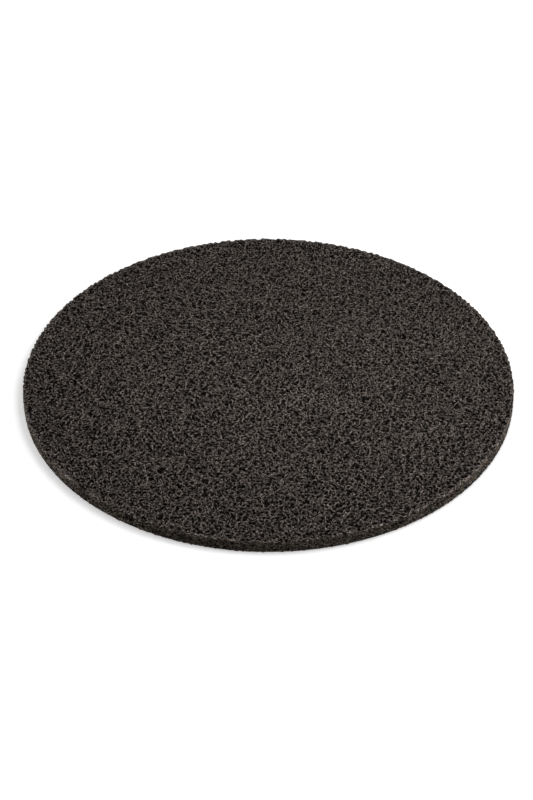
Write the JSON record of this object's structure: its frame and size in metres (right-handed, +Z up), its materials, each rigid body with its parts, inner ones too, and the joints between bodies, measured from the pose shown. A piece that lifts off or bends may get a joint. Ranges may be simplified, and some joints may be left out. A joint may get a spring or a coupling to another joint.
{
  "type": "floor polishing pad",
  "caption": "Thin round floor pad of stiff, open non-woven fibre web, dark grey-brown, with both faces alike and a plain die-cut edge.",
  "frame": {"origin": "centre of the underside, in the plane that the pad lies on", "axes": "+Z up through the thickness, along the pad's axis. The pad is round, so X and Y only fix the pattern of the web."},
  "size_m": [0.432, 0.432, 0.012],
  "materials": {
    "fibre_web": "matt open web of crimped fibres bonded with a dark resin, with near-black pores"
  },
  "bodies": {
    "root": {"fibre_pad": "fibre_web"}
  },
  "joints": []
}
